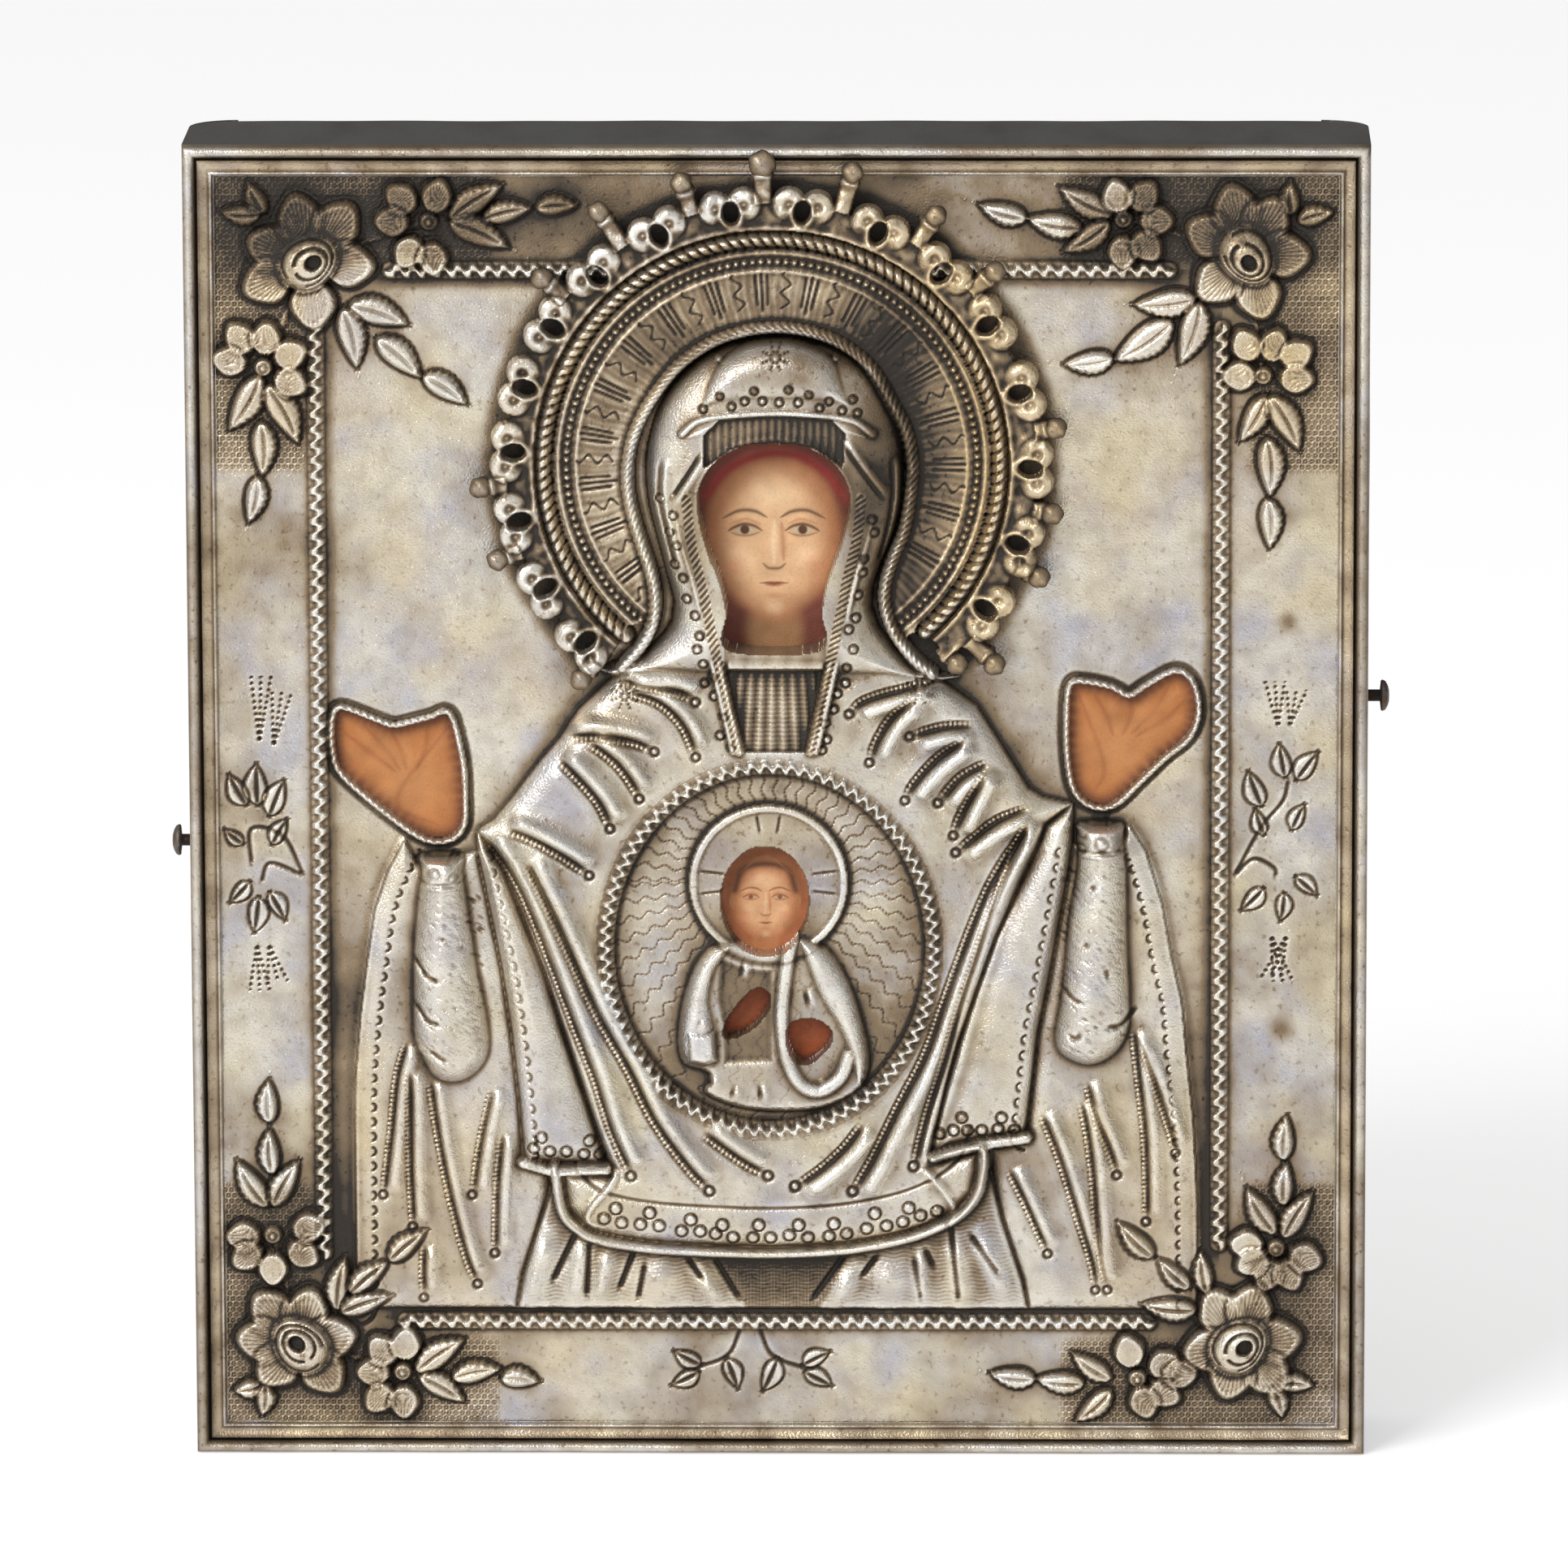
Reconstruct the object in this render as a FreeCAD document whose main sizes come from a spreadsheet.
"""Painted panel icon under a chased silver cover, with a pierced nimbus and a hanging ring.

The icon stands on its bottom edge. X runs to the viewer's right, Y runs from the front to the
back, and Z runs up. The origin is under the middle of the bottom edge, at half the depth.
Raised work is modelled on its seat, the front face of the cover sheet, and then moved there.
"""

import FreeCAD, Part
import math
import os

from FreeCAD import Placement, Rotation, Vector

# Driving dimensions in millimetres
SIZES = {
    "cover_width": 178.0,
    "cover_height": 201.5,
    "cover_depth": 25.0,
    "sheet_wall": 0.5,
    "corner_round": 7.0,
    "board_back_inset": 1.5,
    "board_gap": 0.3,
    "gesso_wall": 1.0,
    "paint_wall": 0.3,
    "paint_margin": 1.5,
    "batten_height": 15.0,
    "batten_reach": 7.0,
    "batten_proud": 1.0,
    "batten_undercut": 1.5,
    "upper_batten_drop": 47.5,
    "lower_batten_place": 44.0,
    "rim_edge": 0.1,
    "rim_bead_radius": 0.9,
    "rim_bead_seat": 1.0,
    "rim_groove_width": 0.4,
    "rim_groove_rise": 0.5,
    "rim_cove_width": 1.6,
    "rim_cove_rise": 1.3,
    "rim_cove_foot": 0.6,
    "rim_inner_radius": 0.3,
    "rim_inner_seat": 0.7,
    "rope_width": 2.4,
    "rope_rise": 1.4,
    "rope_tooth": 0.6,
    "rope_pitch": 2.35,
    "veil_rise": 1.6,
    "robe_rise": 1.2,
    "lapel_rise": 3.2,
    "mantle_rise": 4.2,
    "mantle_fall": 1.6,
    "hood_rise": 6.2,
    "visor_rise": 7.0,
    "band_rise": 5.4,
    "sleeve_rise": 5.2,
    "sleeve_fall": 2.6,
    "cuff_rise": 5.8,
    "cuff_height": 5.0,
    "fold_width": 1.2,
    "fold_rise": 0.6,
    "hem_width": 1.5,
    "stud_radius": 0.95,
    "stud_rise": 0.6,
    "disc_rise": 2.0,
    "medallion_half_width": 25.6,
    "medallion_half_height": 27.8,
    "medallion_rope_rise": 4.6,
    "child_rise": 4.4,
    "child_fall": 1.4,
    "child_nimbus_radius": 11.5,
    "child_nimbus_rise": 2.9,
    "child_nimbus_rim": 1.0,
    "child_face_half_width": 6.5,
    "child_face_half_height": 8.2,
    "leaf_rise": 2.0,
    "petal_rise": 2.3,
    "rose_petal_radius": 3.4,
    "blossom_petal_radius": 2.3,
    "blossom_eye_radius": 1.6,
    "blossom_eye_rise": 1.6,
    "rose_half_length": 4.9,
    "rose_half_width": 3.7,
    "rose_rise": 4.2,
    "rose_hole_radius": 1.3,
    "rose_hole_reach": 1.8,
    "hand_rim_width": 1.3,
    "hand_rim_rise": 1.5,
    "nimbus_plate_rise": 2.4,
    "nimbus_bead_inset": 3.4,
    "ray_half_width": 0.8,
    "ray_rise": 0.6,
    "nimbus_bead_width": 1.4,
    "nimbus_bead_rise": 0.7,
    "nimbus_wire_width": 1.5,
    "nimbus_wire_rise": 4.4,
    "nimbus_reach": 13.34,
    "nimbus_chain_width": 2.6,
    "nimbus_chain_rise": 4.4,
    "seat_gap": 0.1,
    "gallery_lift": 2.3,
    "gallery_wall": 1.3,
    "gallery_band_width": 4.2,
    "gallery_hole_half_width": 1.2,
    "gallery_hole_half_length": 1.6,
    "gallery_hole_reach": 3.2,
    "volute_radius": 1.9,
    "volute_reach": 5.0,
    "volute_curl_radius": 0.8,
    "volute_curl_rise": 0.8,
    "knob_radius": 1.65,
    "knob_rise": 1.8,
    "crown_knob_radius": 2.1,
    "nail_radius": 0.9,
    "nail_reach": 9.0,
    "nail_proud": 2.2,
    "nail_head_radius": 2.4,
    "nail_head_wall": 1.3,
    "eye_bore_radius": 1.8,
    "eye_wire_radius": 0.7,
    "eye_shank_reach": 12.0,
    "eye_drop": 17.5,
    "ring_radius": 9.0,
    "ring_wire_radius": 0.9,
    "ring_gap": 0.3,
    "overrun": 2.0,
}

THOUSAND = 1000
QUARTER_TURN = 90
ARC_STEPS = 48
OVAL_SIDES = 24
ROUND_SIDES = 8
NAIL_SIDES = 12
RING_STEPS = 36
EYE_STEPS = 16
CROWN_STEPS = 6
STUD_SIDES = 6
BEAD_STEPS = 6

# Outlines as thousandths of the cover's width and height, x from the middle and z from the bottom
HOOD_LEFT_SHARES = [
    (-140, 599), (-112, 619), (-96, 632), (-89, 642), (-87, 657), (-93, 677), (-100, 702), (-107, 727),
    (-110, 752), (-108, 777), (-98, 805), (-81, 827), (-56, 845), (-28, 854), (0, 856),
]
HOOD_RIGHT_SHARES = [
    (28, 854), (56, 844), (79, 830), (96, 807), (106, 782), (108, 757), (106, 732), (98, 707),
    (89, 687), (81, 667), (80, 652), (86, 637), (101, 619), (118, 607), (140, 596),
]
SHOULDER_LEFT_SHARES = [(-242, 489), (-225, 507), (-202, 534), (-185, 552), (-169, 574)]
SHOULDER_RIGHT_SHARES = [(169, 577), (197, 537), (213, 514), (225, 507)]
LAPEL_LEFT_INNER_SHARES = [
    (-256, 481), (-236, 456), (-216, 411), (-199, 371), (-185, 331), (-174, 301), (-163, 271),
    (-152, 241), (-145, 222),
]
LAPEL_LEFT_OUTER_SHARES = [
    (-218, 226), (-222, 276), (-228, 326), (-236, 376), (-247, 426), (-256, 466),
]
LAPEL_RIGHT_INNER_SHARES = [
    (130, 232), (132, 246), (143, 286), (154, 321), (169, 361), (185, 401), (205, 441), (228, 486),
    (251, 502),
]
LAPEL_RIGHT_OUTER_SHARES = [
    (250, 471), (247, 451), (239, 411), (230, 366), (221, 326), (216, 286), (211, 248),
]
HEM_SHARES = [
    (-191, 224), (-185, 191), (-171, 176), (-152, 168), (-112, 162), (-56, 159), (0, 158), (56, 161),
    (101, 168), (129, 176), (154, 188), (169, 203), (174, 221), (174, 241),
]
ROBE_LEFT_SHARES = [(-225, 112), (-219, 140), (-208, 171), (-197, 201)]
ROBE_RIGHT_SHARES = [(183, 211), (191, 181), (208, 135), (213, 112)]
VEIL_LEFT_SHARES = [
    (-307, 456), (-317, 474), (-331, 451), (-343, 421), (-350, 381), (-356, 341), (-361, 291),
    (-362, 226), (-362, 153), (-362, 112),
]
VEIL_RIGHT_SHARES = [
    (357, 112), (357, 165), (356, 211), (353, 261), (347, 311), (343, 351), (334, 386), (326, 426),
    (312, 466), (297, 487), (293, 478),
]
SLEEVE_LEFT_SHARES = [
    (-303, 463), (-268, 463), (-266, 451), (-263, 431), (-258, 401), (-253, 371), (-246, 341),
    (-244, 316), (-250, 301), (-264, 290), (-281, 287), (-295, 292), (-303, 303), (-312, 321),
    (-313, 351), (-312, 391), (-308, 431), (-304, 451),
]
SLEEVE_RIGHT_SHARES = [
    (256, 488), (291, 488), (294, 476), (298, 451), (299, 401), (301, 361), (301, 336), (295, 318),
    (281, 306), (264, 301), (247, 305), (236, 313), (233, 326), (238, 351), (242, 381), (246, 416),
    (253, 451), (254, 476),
]
HAND_LEFT_SHARES = [
    (-372, 571), (-360, 569), (-343, 563), (-326, 558), (-309, 561), (-292, 565), (-281, 568),
    (-275, 552), (-270, 527), (-269, 502), (-270, 486), (-278, 477), (-292, 475), (-306, 480),
    (-326, 493), (-348, 509), (-369, 527), (-374, 542), (-375, 557),
]
HAND_RIGHT_SHARES = [
    (250, 589), (258, 592), (281, 588), (298, 581), (315, 590), (337, 600), (349, 592), (353, 572),
    (346, 554), (326, 539), (303, 519), (287, 505), (275, 501), (262, 505), (253, 516), (249, 537),
    (248, 562),
]
CHILD_BODY_SHARES = [
    (-45, 401), (-67, 386), (-81, 361), (-89, 326), (-89, 306), (-73, 298), (-53, 296), (-51, 281),
    (-28, 273), (11, 272), (45, 276), (70, 288), (79, 306), (70, 336), (56, 366), (39, 389), (17, 401),
]
CHILD_HAND_LEFT_SHARES = [
    (-45, 325), (-43, 337), (-33, 350), (-20, 361), (-10, 359), (-8, 349), (-17, 336), (-31, 327),
]
CHILD_HAND_RIGHT_SHARES = [
    (8, 329), (15, 337), (31, 338), (44, 330), (43, 319), (31, 308), (20, 305), (11, 314),
]
NIMBUS_WIRE_SHARES = [
    (-131, 608), (-115, 624), (-106, 639), (-103, 657), (-106, 677), (-113, 697), (-120, 717),
    (-125, 737), (-126, 757), (-121, 782), (-107, 808), (-84, 835), (-56, 853), (-28, 862), (0, 865),
    (28, 862), (55, 853), (80, 835), (99, 807), (110, 787), (115, 762), (113, 737), (108, 712),
    (99, 692), (92, 672), (91, 657), (95, 642), (104, 627), (118, 612), (131, 603),
]
VISOR_SHARES = [
    (-79, 790), (-73, 810), (-56, 829), (-31, 843), (0, 847), (31, 843), (56, 829), (73, 810),
    (80, 790), (51, 802), (22, 806), (0, 807), (-22, 806), (-51, 802),
]
BAND_LEFT_SHARES = [
    (-73, 740), (-69, 707), (-60, 677), (-55, 652), (-47, 622), (-35, 587), (-25, 545), (-36, 545),
    (-42, 567), (-53, 607), (-61, 642), (-70, 672), (-80, 707), (-85, 740),
]
COLLAR_SHARES = [(-38, 608), (38, 608), (38, 622), (-38, 622)]

# Half widths of the hood's opening at heights, in thousandths of the cover's width and height
FACE_OPENING_SHARES = [
    (38, 624), (39, 652), (45, 677), (54, 697), (61, 720), (63, 742), (51, 763), (28, 776), (0, 779),
]
FACE_MIDDLE_SHARE = -2

# Folds of the mantle over the breast, from the top down
BREAST_FOLD_SHARES = [
    [(-250, 476), (-208, 411), (-174, 331), (-143, 251), (-126, 218)],
    [(-216, 461), (-174, 381), (-129, 301), (-79, 226), (-59, 207)],
    [(-67, 253), (-45, 238), (-9, 219)],
    [(211, 486), (169, 421), (140, 351), (101, 271), (63, 207)],
    [(73, 261), (56, 241), (14, 211)],
    [(213, 494), (180, 421), (154, 351), (126, 266), (115, 226)],
]
SHOULDER_FOLD_SHARES = [
    [(-140, 597), (-112, 593), (-69, 582)], [(-129, 589), (-101, 581), (-69, 540)],
    [(-180, 553), (-152, 555), (-104, 544)], [(-163, 552), (-140, 537), (-117, 508)],
    [(-188, 539), (-169, 522), (-142, 485)], [(-233, 483), (-208, 475), (-160, 449)],
    [(135, 597), (101, 591), (61, 573)], [(121, 589), (98, 572), (78, 536)],
    [(169, 564), (140, 563), (112, 556)], [(163, 557), (135, 539), (108, 507)],
    [(181, 537), (157, 526), (136, 505)], [(216, 502), (185, 491), (151, 467)],
]
VEIL_FOLD_SHARES = {
    "left_veil": [
        [(-317, 321), (-331, 251), (-338, 201)], [(-315, 301), (-315, 221), (-313, 176)],
        [(-298, 291), (-284, 211), (-258, 132)], [(-236, 251), (-242, 191), (-243, 156)],
    ],
    "right_veil": [
        [(301, 331), (311, 251), (313, 181)], [(306, 321), (320, 286), (338, 234)],
        [(261, 291), (281, 236), (288, 217)], [(256, 276), (267, 216), (280, 128)],
    ],
}

# Places of small work, in thousandths of the cover's width and height
HEM_STUD_SHARES = [
    (-149, 185), (-139, 193), (-134, 182), (-118, 181), (-110, 190), (-102, 180), (-83, 176),
    (-75, 185), (-67, 176), (-54, 174), (-48, 181), (-39, 171), (-22, 171), (-17, 181), (-7, 171),
    (9, 173), (17, 181), (25, 171), (43, 172), (47, 182), (58, 174), (75, 178), (82, 190), (92, 180),
    (106, 183), (111, 194), (121, 188), (135, 191),
]
LAPEL_LEFT_STUD_SHARES = [
    (-209, 238), (-202, 247), (-195, 236), (-181, 236), (-166, 234), (-161, 244), (-152, 233),
]
LAPEL_RIGHT_STUD_SHARES = [
    (137, 250), (149, 253), (156, 263), (161, 253), (173, 253), (187, 254), (190, 263), (201, 253),
]
HEAD_MIDDLE_SHARES = (-2, 720)
MEDALLION_MIDDLE_SHARES = (-7, 393)
CHILD_NIMBUS_MIDDLE_SHARES = (-8, 443)
CHILD_FACE_MIDDLE_SHARES = (-11, 429)
NIMBUS_MIDDLE_SHARES = (-4, 761)
ROPE_CORNER_SHARES = ((-389, 102), (375, 906))
LEFT_NAIL_SHARE = 460
RIGHT_NAIL_SHARE = 572

# Rope runs as start and end shares along the side that each follows
ROPE_RUN_SHARES = {
    "left": (155, 862),
    "right": (163, 862),
    "bottom": (-320, 315),
    "top_left": (-325, -132),
    "top_right": (132, 330),
}

GALLERY_ANGLES = [
    83, 65.6, 49, 33.4, 16.6, -0.5, -17.9, -34.3, 98.9, 115.5, 132, 147.3, 162.2, 176.9, 192.5, 208.6, 223.7,
]
VOLUTE_SPREAD_ANGLE = 4.1
RAY_ANGLES = [-31, -15.5, 0, 15.5, 31, 46.5, 62, 77.5, 93, 108.5, 124, 139.5, 155, 170.5, 186, 201.5, 217]
NIMBUS_END_ANGLES = (-48, 230)
PLATE_END_ANGLE = 4
PLATE_END_POINTS = 2
CHAIN_TEETH = 56
MEDALLION_TEETH = 62

# Each knob: its angle in degrees, and its distance out in thousandths of the outer rope's radius
KNOB_SHARES = [
    (74.6, 1350), (107.2, 1315), (57, 1325), (123.7, 1355), (41.4, 1305), (140.2, 1303), (7.8, 1257),
    (-9.7, 1248), (-22.8, 1271), (184.2, 1280), (199.1, 1274), (-47.3, 1198), (-42.1, 1315), (228.5, 1268),
]
CROWN_KNOB_SHARES = (91.6, 1338)

# Each bouquet: rose place, rose petals, blossoms with their petals, leaves from base to tip
UPPER_LEFT_BOUQUET_SHARES = {
    "rose": (-393, 913, 35),
    "petals": [(-430, 925), (-435, 895), (-402, 950), (-365, 945), (-354, 910), (-390, 875)],
    "blossoms": [
        ((-292, 943), [(-315, 960), (-323, 943), (-309, 920), (-289, 915), (-285, 962)]),
        ((-433, 833), [(-452, 855), (-430, 855), (-410, 843), (-461, 838), (-410, 822)]),
    ],
    "leaves": [
        ((-430, 949), (-444, 972)), ((-433, 948), (-468, 950)), ((-275, 945), (-230, 970)),
        ((-247, 945), (-205, 953)), ((-275, 943), (-225, 923)), ((-202, 953), (-166, 955)),
        ((-435, 827), (-463, 785)), ((-430, 820), (-404, 775)), ((-435, 792), (-435, 750)),
        ((-438, 750), (-447, 715)), ((-360, 880), (-310, 865)), ((-365, 878), (-354, 832)),
        ((-337, 855), (-300, 825)), ((-298, 827), (-261, 805)),
    ],
}
UPPER_RIGHT_BOUQUET_SHARES = {
    "rose": (396, 918, -55),
    "petals": [(360, 935), (385, 958), (416, 948), (433, 918), (407, 883), (368, 895)],
    "blossoms": [
        ((292, 945), [(320, 944), (309, 962), (287, 962), (292, 920), (312, 925)]),
        ((410, 827), [(419, 850), (396, 850), (438, 843), (390, 827), (438, 825)]),
    ],
    "leaves": [
        ((433, 948), (433, 972)), ((438, 943), (469, 950)), ((284, 948), (239, 968)),
        ((258, 938), (211, 945)), ((281, 943), (242, 920)), ((211, 945), (171, 955)),
        ((413, 812), (390, 777)), ((416, 812), (441, 770)), ((414, 780), (416, 735)),
        ((415, 734), (416, 696)), ((354, 885), (301, 880)), ((357, 883), (340, 835)),
        ((334, 868), (284, 838)), ((284, 840), (242, 835)),
    ],
}
LOWER_LEFT_BOUQUET_SHARES = {
    "rose": (-410, 85, 135),
    "petals": [(-438, 113), (-404, 113), (-449, 88), (-379, 90), (-433, 65), (-388, 60)],
    "blossoms": [
        ((-323, 63), [(-348, 63), (-340, 80), (-320, 85), (-343, 43), (-322, 40)]),
        ((-433, 169), [(-458, 168), (-455, 153), (-433, 143), (-407, 155), (-402, 175)]),
    ],
    "leaves": [
        ((-444, 52), (-468, 48)), ((-441, 53), (-444, 28)), ((-312, 63), (-270, 88)),
        ((-281, 58), (-239, 65)), ((-309, 60), (-270, 39)), ((-239, 58), (-206, 55)),
        ((-437, 191), (-463, 226)), ((-433, 191), (-410, 226)), ((-433, 216), (-435, 251)),
        ((-435, 256), (-435, 288)), ((-379, 110), (-371, 152)), ((-368, 125), (-333, 150)),
        ((-334, 150), (-301, 174)), ((-376, 110), (-331, 123)),
    ],
}
LOWER_RIGHT_BOUQUET_SHARES = {
    "rose": (393, 85, 40),
    "petals": [(374, 115), (404, 118), (430, 90), (362, 80), (421, 60), (385, 58)],
    "blossoms": [
        ((306, 59), [(329, 70), (329, 48), (299, 80), (312, 41), (343, 63)]),
        ((424, 160), [(417, 140), (435, 140), (399, 163), (404, 150), (449, 153)]),
    ],
    "leaves": [
        ((424, 55), (457, 53)), ((421, 53), (430, 28)), ((284, 58), (250, 78)),
        ((261, 55), (219, 58)), ((284, 50), (253, 25)), ((219, 58), (180, 62)),
        ((424, 171), (399, 206)), ((430, 168), (455, 203)), ((430, 193), (433, 226)),
        ((430, 228), (433, 261)), ((320, 154), (289, 181)), ((351, 130), (323, 153)),
        ((365, 125), (360, 158)), ((357, 113), (309, 117)),
    ],
}

LEAF_WIDTH_SHARE = 0.42
LEAF_RIDGE_SHARE = 0.3
PETAL_TOP_SHARE = 0.5
PETAL_LENGTH_SHARE = 1.12
HOOD_CROWN_SHARE = 0.66
ROOT_SHARE = 0.5
COVE_SAG_SHARE = 0.33
KNOB_TOP_SHARE = 0.45
NAIL_HEAD_TOP_SHARE = 0.6
RAY_FOOT_SHARE = 0.86

# Places of the board, its back and its ring eye, worked out on the sheet
BOARD_FRONT = "-Sizes.cover_depth / 2 + Sizes.sheet_wall + Sizes.gesso_wall"
BOARD_BACK = "Sizes.cover_depth / 2 - Sizes.board_back_inset"
BOARD_WALL = "Sizes.cover_depth - Sizes.board_back_inset - Sizes.sheet_wall - Sizes.gesso_wall"
EYE_HEIGHT = "Sizes.cover_height - Sizes.eye_drop"
EYE_CENTRE = BOARD_BACK + " + Sizes.eye_bore_radius + 2 * Sizes.eye_wire_radius"
RING_TOP = EYE_HEIGHT + " - Sizes.eye_bore_radius + Sizes.ring_wire_radius + Sizes.ring_gap"
BOARD_LENGTH = "Sizes.cover_width - 2 * Sizes.sheet_wall - 2 * Sizes.board_gap"
BOARD_HEIGHT = "Sizes.cover_height - 2 * Sizes.sheet_wall - 2 * Sizes.board_gap"
BOARD_LEFT = "-Sizes.cover_width / 2 + Sizes.sheet_wall + Sizes.board_gap"
BOARD_FOOT = "Sizes.sheet_wall + Sizes.board_gap"


def make_sheet(doc):
    """Put the driving dimensions into a spreadsheet, one alias a row."""
    sheet = doc.addObject("Spreadsheet::Sheet", "Sizes")
    for row, (alias, value) in enumerate(SIZES.items(), start=1):
        sheet.set(f"A{row}", alias)
        sheet.set(f"B{row}", str(value))
        sheet.setAlias(f"B{row}", alias)
    doc.recompute()
    return sheet


class Icon:
    """The document, its sizes and the shape helpers that every sub-part uses."""

    def __init__(self):
        self.doc = FreeCAD.newDocument("SilverIcon")
        self.sheet = make_sheet(self.doc)
        self.nodes = []

    def size(self, alias):
        """Value of one driving dimension."""
        return float(self.sheet.get(alias))

    def keep(self, item, label):
        """Give an object its label and list it as a sub-part."""
        item.Label = label
        self.nodes.append(item)
        return item

    def spot(self, share):
        """Place on the front of the cover for a pair of thousandths."""
        x = self.size("cover_width") * share[0] / THOUSAND
        z = self.size("cover_height") * share[1] / THOUSAND
        return (x, z)

    def spots(self, shares):
        """Places for a list of pairs of thousandths."""
        return [self.spot(share) for share in shares]

    def front(self):
        """Y of the cover's front face."""
        return -self.size("cover_depth") / 2

    def raised(self, label, shape, seat=0):
        """Keep a shape that was built on its seat, at its height above the cover's front."""
        item = self.doc.addObject("Part::Feature", label)
        item.Shape = shape
        item.Placement = Placement(Vector(0, self.front() - seat, 0), Rotation())
        return self.keep(item, label)


def wire_at(outline, height):
    """Closed polygon at a height above the seat."""
    points = [Vector(x, -height, z) for x, z in outline]
    return Part.makePolygon(points + points[:1])


def plate(outline, low, high):
    """Straight-sided plate over an outline, from one height to another above its seat."""
    return Part.Face(wire_at(outline, low)).extrude(Vector(0, low - high, 0))


def shrunk(outline, middle, share):
    """Outline drawn in towards a middle point by a share."""
    return [
        (middle[0] + (x - middle[0]) * share, middle[1] + (z - middle[1]) * share) for x, z in outline
    ]


def flat_solid(corner_groups):
    """Solid from its flat faces, each a list of corners."""
    faces = [Part.Face(Part.makePolygon(list(group) + [group[0]])) for group in corner_groups]
    solid = Part.Solid(Part.Shell(faces))
    return solid if solid.Volume > 0 else solid.reversed()


def hipped(outline, middle, low, high, share):
    """Solid whose sides lean in from an outline to a smaller top."""
    foot = [Vector(x, -low, z) for x, z in outline]
    top = [Vector(x, -high, z) for x, z in shrunk(outline, middle, share)]
    count = len(foot)
    sides = [
        (foot[index], foot[(index + 1) % count], top[(index + 1) % count], top[index])
        for index in range(count)
    ]
    return flat_solid(sides + [foot[::-1], top])


def crown_radius(half_width, fall):
    """Radius of the round crown that drops by fall at half_width from its top."""
    return (half_width ** 2 + fall ** 2) / (2 * fall)


def crowned(outline, rise, fall):
    """Plate over an outline whose top is rounded across its width in narrow flats."""
    lowest = min(x for x, z in outline)
    highest = max(x for x, z in outline)
    bottom = min(z for x, z in outline)
    top = max(z for x, z in outline)
    half = (highest - lowest) / 2
    radius = crown_radius(half, fall)
    lean = math.degrees(math.asin(half / radius))
    ends = (QUARTER_TURN + lean, QUARTER_TURN - lean)
    arc = arc_points(((lowest + highest) / 2, rise - radius), radius, *ends, CROWN_STEPS)
    section = [Vector(x, -height, bottom) for x, height in [(lowest, 0)] + arc + [(highest, 0)]]
    crown = Part.Face(Part.makePolygon(section + section[:1])).extrude(Vector(0, 0, top - bottom))
    return plate(outline, 0, rise).common(crown)


def ring_points(middle, half_width, half_height, sides, turn=0):
    """Corners of an ellipse drawn with straight sides and turned by an angle in degrees."""
    points = []
    for step in range(sides):
        angle = 2 * math.pi * step / sides
        x = half_width * math.cos(angle)
        z = half_height * math.sin(angle)
        lean = math.radians(turn)
        points.append((
            middle[0] + x * math.cos(lean) - z * math.sin(lean),
            middle[1] + x * math.sin(lean) + z * math.cos(lean),
        ))
    return points


def arc_points(middle, radius, start, end, steps):
    """Points along an arc between two angles in degrees."""
    points = []
    for step in range(steps + 1):
        angle = math.radians(start + (end - start) * step / steps)
        points.append((middle[0] + radius * math.cos(angle), middle[1] + radius * math.sin(angle)))
    return points


def even_points(path, count):
    """Points at even steps along a path of straight runs."""
    lengths = [math.dist(a, b) for a, b in zip(path, path[1:])]
    whole = sum(lengths)
    points = []
    for step in range(count + 1):
        left = whole * step / count
        run = 0
        while run < len(lengths) - 1 and left > lengths[run]:
            left -= lengths[run]
            run += 1
        share = left / lengths[run]
        start, end = path[run], path[run + 1]
        points.append((start[0] + (end[0] - start[0]) * share, start[1] + (end[1] - start[1]) * share))
    return points


def side_points(path, distances, closed=False):
    """Points beside a path, each at its own distance to the left of the way along it."""
    moved = []
    count = len(path)
    for index, (x, z) in enumerate(path):
        if closed:
            before, after = path[index - 1], path[(index + 1) % count]
        else:
            before, after = path[max(index - 1, 0)], path[min(index + 1, count - 1)]
        run = math.dist(before, after)
        across = (-(after[1] - before[1]) / run, (after[0] - before[0]) / run)
        moved.append((x + across[0] * distances[index], z + across[1] * distances[index]))
    return moved


def toothed_outlines(points, width, tooth, closed):
    """Left and right edges of a rope whose teeth stand out by turns."""
    wide = width / 2
    narrow = wide - tooth
    lefts = [wide if index % 2 else narrow for index in range(len(points))]
    rights = [-narrow if index % 2 else -wide for index in range(len(points))]
    return side_points(points, lefts, closed), side_points(points, rights, closed)


def toothed_rope(path, width, tooth, teeth, rise):
    """Open rope along a path, with its teeth cut into both edges."""
    points = even_points(path, 2 * teeth)
    left, right = toothed_outlines(points, width, tooth, False)
    return plate(left + right[::-1], 0, rise)


def toothed_ring(path, width, tooth, teeth, rise):
    """Closed rope round a path, with its teeth cut into both edges."""
    points = even_points(path + path[:1], 2 * teeth)[:-1]
    left, right = toothed_outlines(points, width, tooth, True)
    outer, inner = (right, left) if spread(right) > spread(left) else (left, right)
    return plate(outer, 0, rise).cut(plate(inner, 0, rise))


def spread(outline):
    """Width of an outline along X."""
    return max(x for x, z in outline) - min(x for x, z in outline)


def joined(shapes):
    """One shape from several that touch or overlap."""
    return shapes[0].multiFuse(shapes[1:]).removeSplitter()


def bind(item, expressions):
    """Bind an object's properties to the sheet."""
    for name, text in expressions.items():
        item.setExpression(name, text)


def make_box(icon, label, spans, corner):
    """Box whose three lengths and corner are expressions on the sheet."""
    box = icon.doc.addObject("Part::Box", label)
    bind(box, dict(zip(("Length", "Width", "Height"), spans)))
    bind(box, dict(zip(("Placement.Base.x", "Placement.Base.y", "Placement.Base.z"), corner)))
    return box


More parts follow.
